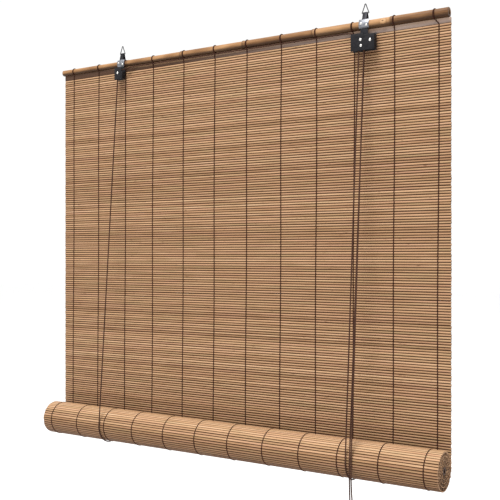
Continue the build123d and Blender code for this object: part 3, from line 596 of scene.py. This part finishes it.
# Roll: the rest of the mat, wound forwards and down round a bottom cane; the sticks lie on half
# turns that shrink by half a turn's depth, so the ends show the spiral.
roll_y = -29.65
roll_z = -720.82
roll_radius = 31.025
turn_depth = 2.95
half_turns = 16
wound = []
stitches = []
run = stick_pitch / 2
half = 0
length_before = 0.0
while half < half_turns:
    radius = roll_radius - half * turn_depth / 2 - stick_depth / 2
    if run - length_before > math.pi * radius:
        length_before += math.pi * radius
        half += 1
        continue
    angle = (0 if half % 2 == 0 else math.pi) - (run - length_before) / radius
    centre_y = roll_y - (half % 2) * turn_depth / 2
    y = centre_y + radius * math.cos(angle)
    z = roll_z + radius * math.sin(angle)
    upward = math.sin(angle)
    # Painted light and shade: sticks on top of the roll are painted lighter and those underneath
    # darker, as light falls from above.
    tone_with_painted_light = stick_tone() - 0.1 + 0.45 * upward
    thin = 0.92 if half < 2 else 0.72
    wound.append(laid(stick, y, z, angle, tone_with_painted_light, 0.06, thin, 0.5))
    # The painted groove shade is weaker on sticks that face up.
    for mark in wound[-1].data.attributes["edge"].data:
        mark.value *= 0.9 - 0.5 * max(0.0, upward)
    # Painted shade: the cut ends of every other pair of half turns, and of every half turn from
    # the thirteenth inwards, are painted dark, standing for the shade between turns and in the
    # roll's core.
    for mark in wound[-1].data.attributes["sawn"].data:
        mark.value = mark.value * 0.35 + (0.6 if half // 2 % 2 == 0 and half < 13 else 0.14)
    if half < 2 and not (half == 1 and angle < 0.35):
        for x in threads:
            stitch = bead("roll_stitch")
            out = radius + stick_depth / 2 + 0.1
            stitch_y = centre_y + out * math.cos(angle)
            stitch_z = roll_z + out * math.sin(angle)
            place = (x - thread_lean, stitch_y, stitch_z)
            put = Matrix.Translation([c / 1000 for c in place])
            stitch.data.transform(put @ Matrix.Rotation(angle, 4, "X"))
            stitches.append(stitch)
    run += stick_pitch
rolled = joined("rolled_sticks", wound)
painted(rolled, "grey", [0.0] * len(rolled.data.vertices))
finished(rolled, bamboo, "roll", "split_bamboo", "rolled_mat")
finished(joined("rolled_threads", stitches), thread, "roll", "warp_thread", "roll_threads")
bpy.data.objects.remove(stick)
bpy.data.objects.remove(wide_stick)
# The bottom cane is painted near black all over: painted shade of the roll's hollow core, which
# its end shows.
core = Finish("painted_shade_core_cane", Roughness=0.6, Specular_IOR_Level=0.2)
core_mottle = core.noise((40, 500, 500), 3)
core.feed(Base_Color=core.ramp(core_mottle, [(0.3, (0.02, 0.009, 0.005)), (0.7, (0.075, 0.035, 0.018))]))
nodes["bottom_pole"].data.materials.clear()
nodes["bottom_pole"].data.materials.append(core.material)

# Hanger straps: one strip of tarnished steel each, folded over the ring's base wire and round the
# pole, nailed to it. The CAD shape is right, so a copy of it only gets its sheared edges rounded.


def eased(node, name, width):
    """A copy of a solid with its sharp edges rounded over."""
    mesh = nodes[node].data.copy()
    piece = bpy.data.objects.new(name, mesh)
    bpy.context.collection.objects.link(piece)
    only(piece)
    bpy.ops.object.mode_set(mode="EDIT")
    bpy.ops.mesh.select_all(action="SELECT")
    bpy.ops.mesh.remove_doubles(threshold=2e-6)
    bpy.ops.mesh.dissolve_limited(angle_limit=0.01)
    bpy.ops.object.mode_set(mode="OBJECT")
    soften = piece.modifiers.new("soften", "BEVEL")
    soften.width = width / 1000
    soften.segments = 2
    soften.limit_method = "ANGLE"
    soften.angle_limit = 0.7
    bpy.ops.object.modifier_apply(modifier="soften")
    bpy.ops.object.shade_smooth_by_angle(angle=0.6)
    return piece


steel = Finish("strap_steel", Metallic=0.9, Roughness=0.35)
brush = steel.noise((120, 120, 900), 3)
tarnish = steel.noise((190, 190, 190), 4, 0.65)
colour = steel.ramp(
    tarnish,
    [(0.3, (0.13, 0.135, 0.15)), (0.55, (0.22, 0.225, 0.245)), (0.8, (0.33, 0.34, 0.37))],
)
# Painted shade and dark reflection: the steel more than about 7 mm above or below the pole's axis,
# the fold and the neck, is painted near black.
where = steel.node("ShaderNodeTexCoord", out="Object")
height = steel.node("ShaderNodeSeparateXYZ", {}, {0: where}, out="Z")
along = (height - pole_z / 1000) * 50 + 0.5
painted_dark_bands = steel.ramp(
    along,
    [(0.16, (1, 1, 1)), (0.25, (0, 0, 0)), (0.86, (0, 0, 0)), (0.95, (1, 1, 1))],
)
colour = steel.mix(painted_dark_bands, colour, (0.02, 0.02, 0.023))
steel.feed(Base_Color=colour, Roughness=0.34 + tarnish * 0.3)
steel.bump(brush, 0.12, 0.0003)
for side in ("left", "right"):
    strap = eased(f"{side}_hanger_strap", f"{side}_strap", 0.22)
    finished(strap, steel, "head", "strap_steel", f"{side}_hanger_strap")

# Hanging rings: dull steel wire bent to a triangle with round corners, its base held in the
# strap's fold. Each is one closed spline with a round section, and swings with its own body.
wire = Finish("ring_wire", Metallic=0.9, Roughness=0.4)
dull = wire.noise((260, 260, 260), 4, 0.6)
colour = wire.ramp(dull, [(0.3, (0.03, 0.03, 0.032)), (0.7, (0.12, 0.12, 0.125))])
wire.feed(Base_Color=colour, Roughness=0.25 + dull * 0.35)
ring_z = -13.9
ring_spacing = 508.0
wire_radius = 0.8
for side, x in (("left", 0.0), ("right", ring_spacing)):
    bend = bpy.data.curves.new(f"{side}_ring_line", "CURVE")
    bend.dimensions = "3D"
    bend.bevel_depth = wire_radius / 1000
    bend.bevel_resolution = 4
    bend.resolution_u = 10
    line = bend.splines.new("NURBS")
    corners = [(-4.4, 0), (0, 0), (4.4, 0), (5.7, 0), (5.85, 0.6), (5.3, 2.2)]
    corners += [(1.15, 12.9), (0.95, 14.5), (0, 14.95), (-0.95, 14.5), (-1.15, 12.9)]
    corners += [(-5.3, 2.2), (-5.85, 0.6), (-5.7, 0)]
    line.points.add(len(corners) - 1)
    for point, (dx, dz) in zip(line.points, corners):
        point.co = ((x + dx) / 1000, 0, (ring_z + dz) / 1000, 1)
    line.order_u = 3
    line.use_cyclic_u = True
    ring = bpy.data.objects.new(f"{side}_ring_wire", bend)
    bpy.context.collection.objects.link(ring)
    only(ring)
    bpy.ops.object.convert(target="MESH")
    ring = bpy.context.object
    bpy.ops.object.shade_smooth()
    finished(ring, wire, f"{side}_ring", "ring_wire", f"{side}_hanging_ring")

# Nails and axle rivets: bright steel with domed hammered heads, each turned from its outline.
# Rivets pass through both plates of a housing and have a flatter head behind.
bright = Finish("bright_rivet", Metallic=1.0, Roughness=0.25)
worn = bright.noise((500, 500, 500), 3)
colour = bright.ramp(worn, [(0.3, (0.5, 0.48, 0.45)), (0.7, (0.86, 0.84, 0.8))])
bright.feed(Base_Color=colour, Roughness=0.16 + worn * 0.3)
bright.bump(worn, 0.2, 0.0002)


def pin(name, x, z, front, rear, shank, head, height, way=-1):
    """A pin along Y with a domed head at its front end, turned from its outline."""
    outline = [(0, front + way * height)]
    for k in range(1, 6):
        lean = k / 5 * math.pi / 2
        outline.append((head * math.sin(lean), front + way * height * math.cos(lean)))
    outline += [(shank, front), (shank, rear), (0, rear)]
    points = [(x + r, y, z) for r, y in outline]
    return spun(name, points, (x, 0, z), (0, 1, 0), 20)


rivet_length = 11
rivet_shank, rivet_head, rivet_dome = 1.25, 2.25, 1.1
rear_head, rear_dome = 2.2, 0.55
rivets = []
for x, z, back, plate in (
    (0.0, -52.7, -4.54, 1),
    (506.3, -59.4, -5.54, 1),
    (507.3, -68.9, -5.54, 1),
    (522.8, -61.8, -5.54, 0),
):
    rear = back + plate
    front = back - rivet_length
    rivets.append(pin("rivet", x, z, front, rear, rivet_shank, rivet_head, rivet_dome))
    rivets.append(pin("rivet", x, z, rear, rear - 0.1, rivet_shank, rear_head, rear_dome, 1))
finished(joined("rivets", rivets), bright, "head", "bright_rivet", "axle_rivets")
tack_length = 5
tack_shank, tack_head, tack_dome = 0.8, 1.9, 0.8
tacks = []
for x, radius in ((0.0, 5.741), (ring_spacing, 7.287)):
    seat = -(radius + 1.05)
    for dx, dz in ((-4.7, 1.5), (4.7, -1.4)):
        sizes = (seat, seat + tack_length, tack_shank, tack_head, tack_dome)
        tacks.append(pin("tack", x + dx, pole_z + dz, *sizes))
    back = radius + 0.05 + 4.6
    sizes = (back, back - tack_length, tack_shank, tack_head, tack_dome)
    tacks.append(pin("tack", x - 12, pole_z + 2, *sizes, 1))
finished(joined("tacks", tacks), bright, "head", "bright_rivet", "nails")

# Pulley and lock housings: sheet steel folded to a U and blackened, rubbed grey in places. The
# CAD shapes are right, so copies only get softened edges; the toothed cam is the same steel.
black = Finish("blackened_steel", Metallic=0.1, Roughness=0.5, Specular_IOR_Level=0.15)
rub = black.noise((300, 300, 300), 5, 0.65)
film = black.noise((60, 60, 90), 2)
colour = black.ramp(
    rub * 0.75 + film * 0.25,
    [(0.35, (0.006, 0.006, 0.007)), (0.6, (0.014, 0.013, 0.015)), (0.8, (0.05, 0.048, 0.05))],
)
black.feed(Base_Color=colour, Roughness=0.3 + rub * 0.35)
black.bump(rub, 0.15, 0.0003)
for node, name in (("pulley_housing", "pulley_plates"), ("lock_housing", "lock_plates")):
    finished(eased(node, name, 0.2), black, "head", "blackened_steel", node)
finished(eased("lock_cam", "toothed_cam", 0.12), black, "cam", "blackened_steel", "lock_cam")

# Sheaves and anvil bush: turned off-white plastic, dusty in places. The housings hide most of
# them, so copies of the CAD shapes with softened edges are enough.
resin = Finish("sheave_resin", Roughness=0.5)
dust = resin.noise((400, 400, 400), 3)
colour = resin.ramp(dust, [(0.3, (0.5, 0.46, 0.4)), (0.7, (0.74, 0.71, 0.65))])
resin.feed(Base_Color=colour, Roughness=0.4 + dust * 0.3)
for node, name, body in (
    ("pulley_sheave", "pulley_wheel_turned", "pulley_wheel"),
    ("lock_sheave", "lock_wheel_turned", "lock_wheel"),
):
    finished(eased(node, name, 0.15), resin, body, "sheave_plastic", node)
finished(eased("anvil_bush", "anvil_sleeve", 0.15), resin, "head", "sheave_plastic", "anvil_bush")

# Cords: three-strand twisted cord, dark red-brown, on the real route of each run. Each line is a
# smooth spline through the route's points, and the strands are twisted along it.
rope = Finish("twisted_cord", Roughness=0.8, Specular_IOR_Level=0.06)
hollow = rope.mark("hollow")
hair = rope.noise((1500, 1500, 1500), 2)
age = rope.noise((18, 18, 18), 2)
colour = rope.ramp(
    age * 0.6 + hair * 0.4,
    [(0.25, (0.022, 0.009, 0.007)), (0.5, (0.05, 0.023, 0.015)), (0.8, (0.1, 0.052, 0.033))],
)
# Painted shade in the creases between strands and inside knots.
colour = rope.mix(hollow * 0.75, colour, (0.016, 0.007, 0.005))
rope.feed(Base_Color=colour)
rope.bump(hair, 0.4, 0.0002)
cord_radius = 1.15


def spline_points(name, route, fineness):
    """Points in metres along the smooth spline of a route given in millimetres."""
    curve = bpy.data.curves.new(name, "CURVE")
    curve.dimensions = "3D"
    curve.resolution_u = fineness
    line = curve.splines.new("NURBS")
    line.points.add(len(route) - 1)
    for point, place in zip(line.points, route):
        point.co = (*(c / 1000 for c in place), 1)
    line.order_u = 3
    line.use_endpoint_u = True
    carrier = bpy.data.objects.new(name, curve)
    bpy.context.collection.objects.link(carrier)
    bpy.context.view_layer.update()
    mesh = bpy.data.meshes.new_from_object(carrier)
    points = [v.co.copy() for v in mesh.vertices]
    bpy.data.objects.remove(carrier)
    bpy.data.meshes.remove(mesh)
    return points


def twisted(name, route, fineness):
    """A three-strand cord along a route; gives the piece and the points that it follows."""
    path = spline_points(name, route, fineness)
    sides, lay_length = 12, 0.0085
    verts, faces, strand_crease_shades = [], [], []
    ahead = (path[1] - path[0]).normalized()
    across = ahead.orthogonal().normalized()
    walked = 0.0
    for k, point in enumerate(path):
        before, after = path[max(k - 1, 0)], path[min(k + 1, len(path) - 1)]
        ahead = (after - before).normalized()
        across = (across - ahead * across.dot(ahead)).normalized()
        other = ahead.cross(across)
        walked += (point - before).length
        for side in range(sides):
            round_angle = 2 * math.pi * side / sides
            lobe = abs(math.sin(1.5 * (round_angle - 2 * math.pi * walked / lay_length)))
            radius = cord_radius / 1000 * (0.8 + 0.2 * lobe ** 0.6)
            outward = across * math.cos(round_angle) + other * math.sin(round_angle)
            verts.append(point + radius * outward)
            # Painted shade: the creases between the strands are marked to be darkened.
            strand_crease_shades.append(1 - min(1.0, lobe * 1.6))
    for k in range(len(path) - 1):
        for side in range(sides):
            a, b = k * sides + side, k * sides + (side + 1) % sides
            faces.append((a, b, b + sides, a + sides))
    last = len(verts) - sides
    faces.append(tuple(reversed(range(sides))))
    faces.append(tuple(range(last, last + sides)))
    mesh = bpy.data.meshes.new(name)
    mesh.from_pydata(verts, [], faces)
    piece = bpy.data.objects.new(name, mesh)
    bpy.context.collection.objects.link(piece)
    painted(piece, "hollow", strand_crease_shades)
    only(piece)
    bpy.ops.object.shade_smooth()
    return piece, path


crossing = [
    (-4.2, -10.04, -52.7),
    (-4.2, -10.04, -49.3),
    (-1.5, -10.04, -48.3),
    (9.49, -10.04, -46.39),
    (22, -5.6, -43.3),
    (30, -3.2, -41.72),
    (52, -3.2, -41.6),
    (240, -3.2, -42.2),
    (458, -3.2, -42.8),
    (480, -3.2, -42.91),
    (490, -6.6, -47.2),
    (496.91, -9.34, -50.39),
    (508.2, -9.34, -55.3),
    (510.5, -9.34, -56.9),
    (510.5, -9.34, -62),
    (510.2, -9.34, -77.7),
]
over_lock = [
    (502.1, -12.74, -59.4),
    (502.1, -12.74, -56.8),
    (503.6, -12.74, -54.9),
    (506.3, -12.74, -54.7),
    (509, -12.74, -54.9),
    (510.5, -12.74, -56.8),
    (510.5, -12.74, -60.5),
    (510.8, -12.74, -77.7),
]
left_cross, _ = twisted("left_crossing", crossing, 40)
right_cross, _ = twisted("right_crossing", over_lock, 8)
finished(joined("crossings", [left_cross, right_cross]), rope, "head", "cord", "crossing_cords")

# Lift cords: from the sheaves down in front of the mat, under the roll and up behind it to a
# knot nailed to the back of the pole.
lifts = (
    ("left", (-4.2, -10.04, -52.7), (-62.23, -718.27), (-12.0, 8.09, -31.4)),
    ("right", (502.1, -12.74, -59.4), (-62.23, -718.37), (496.0, 9.64, -31.4)),
)
front_y = -62.325
back_y = 3.025
sling_radius = 32.675
for side, top, tangent, anchor in lifts:
    x = top[0]
    foot = (x, *tangent)
    clear = (x, top[1], top[2] - 12)
    down = [top, (x, top[1], top[2] - 6)]
    for share in (0, 0.03, 0.5, 0.98, 1):
        down.append(tuple(a + (b - a) * share for a, b in zip(clear, foot)))
    front, _ = twisted(f"{side}_lift_front_cord", down, 130)
    finished(front, rope, "head", "cord", f"{side}_lift_front")
    drop = (top[2] - foot[2]) / 1000
    left_over = 1 - roll_rise / 1000 / drop
    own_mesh(front)
    hold = anchor[2] - 1.5
    up = [
        (x, back_y, roll_z),
        (x, back_y, roll_z + 12),
        (x, back_y, roll_z + 26),
        ((x + anchor[0]) / 2, back_y, -390),
        (anchor[0], back_y, anchor[2] - 40),
        (anchor[0], back_y, anchor[2] - 24),
        (anchor[0], back_y + 0.6, anchor[2] - 16),
        (anchor[0], anchor[1], hold),
    ]
    back, _ = twisted(f"{side}_lift_back_cord", up, 110)
    finished(back, rope, "head", "cord", f"{side}_lift_back")
    rise = (hold - roll_z) / 1000
    left_over = 1 - roll_rise / 1000 / rise
    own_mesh(back)

slings = []
for side, top, tangent, anchor in lifts:
    x = top[0]
    around = [(x, *tangent), (x, front_y, roll_z)]
    for step in range(1, 12):
        turn = math.pi + math.pi * step / 12
        reach = sling_radius / math.cos(math.pi / 24)
        around.append((x, roll_y + reach * math.cos(turn), roll_z + reach * math.sin(turn)))
    around += [(x, back_y, roll_z - 2), (x, back_y, roll_z)]
    slings.append(twisted("sling", around, 8)[0])
finished(joined("slings", slings), rope, "cradle", "cord", "lift_slings")

# Knots: a lump of the same cord, pulled tight in three crossed turns. One ends each lift cord
# at its nail behind the pole.


def knotted(name, place, size):
    """A knot: three crossed turns of cord round a core."""
    turns = []
    for tilt, spin, swell in ((0.35, 0.2, 1.0), (-0.45, 1.5, 0.94), (1.35, 2.4, 0.86)):
        bpy.ops.object.select_all(action="DESELECT")
        bpy.ops.mesh.primitive_torus_add(
            major_segments=20,
            minor_segments=8,
            major_radius=size * 0.52 * swell / 1000,
            minor_radius=size * 0.46 / 1000,
        )
        turn = bpy.context.object
        lean = Matrix.Rotation(spin, 4, "Z") @ Matrix.Rotation(tilt, 4, "X")
        turn.data.transform(Matrix.Translation([c / 1000 for c in place]) @ lean)
        bpy.ops.object.shade_smooth()
        turns.append(turn)
    made = joined(name, turns)
    middle = Vector(place) / 1000
    # Painted shade: the knot is marked darker towards its middle.
    outward = [(v.co - middle).length / (size * 0.9) * 1000 for v in made.data.vertices]
    painted(made, "hollow", [max(0.0, 1 - share) for share in outward])
    return made


anchors = [knotted("anchor_knot", anchor, 2 * cord_radius) for side, top, tangent, anchor in lifts]
finished(joined("lift_knots", anchors), rope, "head", "cord", "lift_cord_knots")

# Pull cords: both cords leave the lock side by side, lie against the front of the roll and hang
# below it; the spare length is wound in one tied coil and ends in a shared knot.
pull_x = 510.5
coil_x, coil_y, coil_z = 512.5, front_y, -820.32
coil_radius = 13
coil_pitch = 2.35
cells = []
for column in range(3):
    layers = range(5) if column % 2 == 0 else range(4, -1, -1)
    cells += [(layer, column) for layer in layers]
cells.reverse()
for side, way, top_y, foot_y, foot_z, tail_x in (
    ("left", -1, -9.34, -62.21, -718.13, 510.4),
    ("right", 1, -12.74, -62.23, -718.3, 514.5),
):
    top = (pull_x + 0.3 * way, top_y, -77.7)
    foot = (pull_x + 1.45 * way, foot_y, foot_z)
    down = []
    for share in (0, 0.02, 0.5, 0.98, 1):
        down.append(tuple(a + (b - a) * share for a, b in zip(top, foot)))
    tight, path = twisted(f"{side}_pull_tight", down, 130)
    finished(tight, rope, "head", "cord", f"{side}_pull_upper")
    drop = (top[2] - foot[2]) / 1000
    left_over = 1 - roll_rise / 1000 / drop
    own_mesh(tight)
    x = foot[0]
    route = [foot, (x, front_y, -719.5), (x, front_y, -728), (x, front_y, -751.85)]
    route += [(tail_x, front_y, -790.8), (coil_x + 1.8 * way, coil_y + way * 2, -797)]
    route += [(coil_x + 4.5 * way, coil_y + way * 5, coil_z + 19.4)]
    for count, (layer, column) in enumerate(cells):
        next_layer, next_column = cells[min(count + 1, len(cells) - 1)]
        for step in range(12):
            share = step / 12
            ease = max(0.0, (share - 0.5) / 0.5)
            deep = layer + (next_layer - layer) * ease
            wide = column + (next_column - column) * ease
            turn = math.pi / 2 - way * (2 * math.pi * (count + share) + 0.5)
            reach = (coil_radius + (deep - 2) * coil_pitch) / math.cos(math.pi / 24)
            spread = way * (1.2 + wide * coil_pitch)
            x, z = coil_x + reach * math.cos(turn), coil_z + reach * math.sin(turn)
            route.append((x, coil_y + spread, z))
    route += [(coil_x + 8.5 * way, coil_y + way, coil_z - 14)]
    route += [(coil_x + 3 * way, coil_y + way, coil_z - 19)]
    route += [(coil_x + 1.0 * way, coil_y, coil_z - 22)]
    hanging_cord, path = twisted(f"{side}_pull_hanging", route, 8)
    finished(hanging_cord, rope, "cradle", "cord", f"{side}_pull_tail")
    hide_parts("pull_cord_coil")
    [c / 1000 for c in foot]
end_knot = knotted("end_knot", (coil_x, coil_y, coil_z - 23.5), 3.4)
finished(end_knot, rope, "cradle", "cord", "pull_cord_knot")
winds = []
for k in range(4):
    bpy.ops.object.select_all(action="DESELECT")
    bpy.ops.mesh.primitive_torus_add(
        major_segments=28,
        minor_segments=6,
        major_radius=0.0078,
        minor_radius=0.0006,
    )
    wind = bpy.context.object
    bpy.ops.object.shade_smooth()
    place = (coil_x + (k - 1.5) * 1.15, coil_y, coil_z - coil_radius)
    put = Matrix.Translation([c / 1000 for c in place])
    wind.data.transform(put @ Matrix.Rotation(0.05, 4, "Y") @ Matrix.Rotation(math.pi / 2, 4, "Y"))
    winds.append(wind)
finished(joined("coil_binding", winds), thread, "cradle", "cord", "coil_tie")
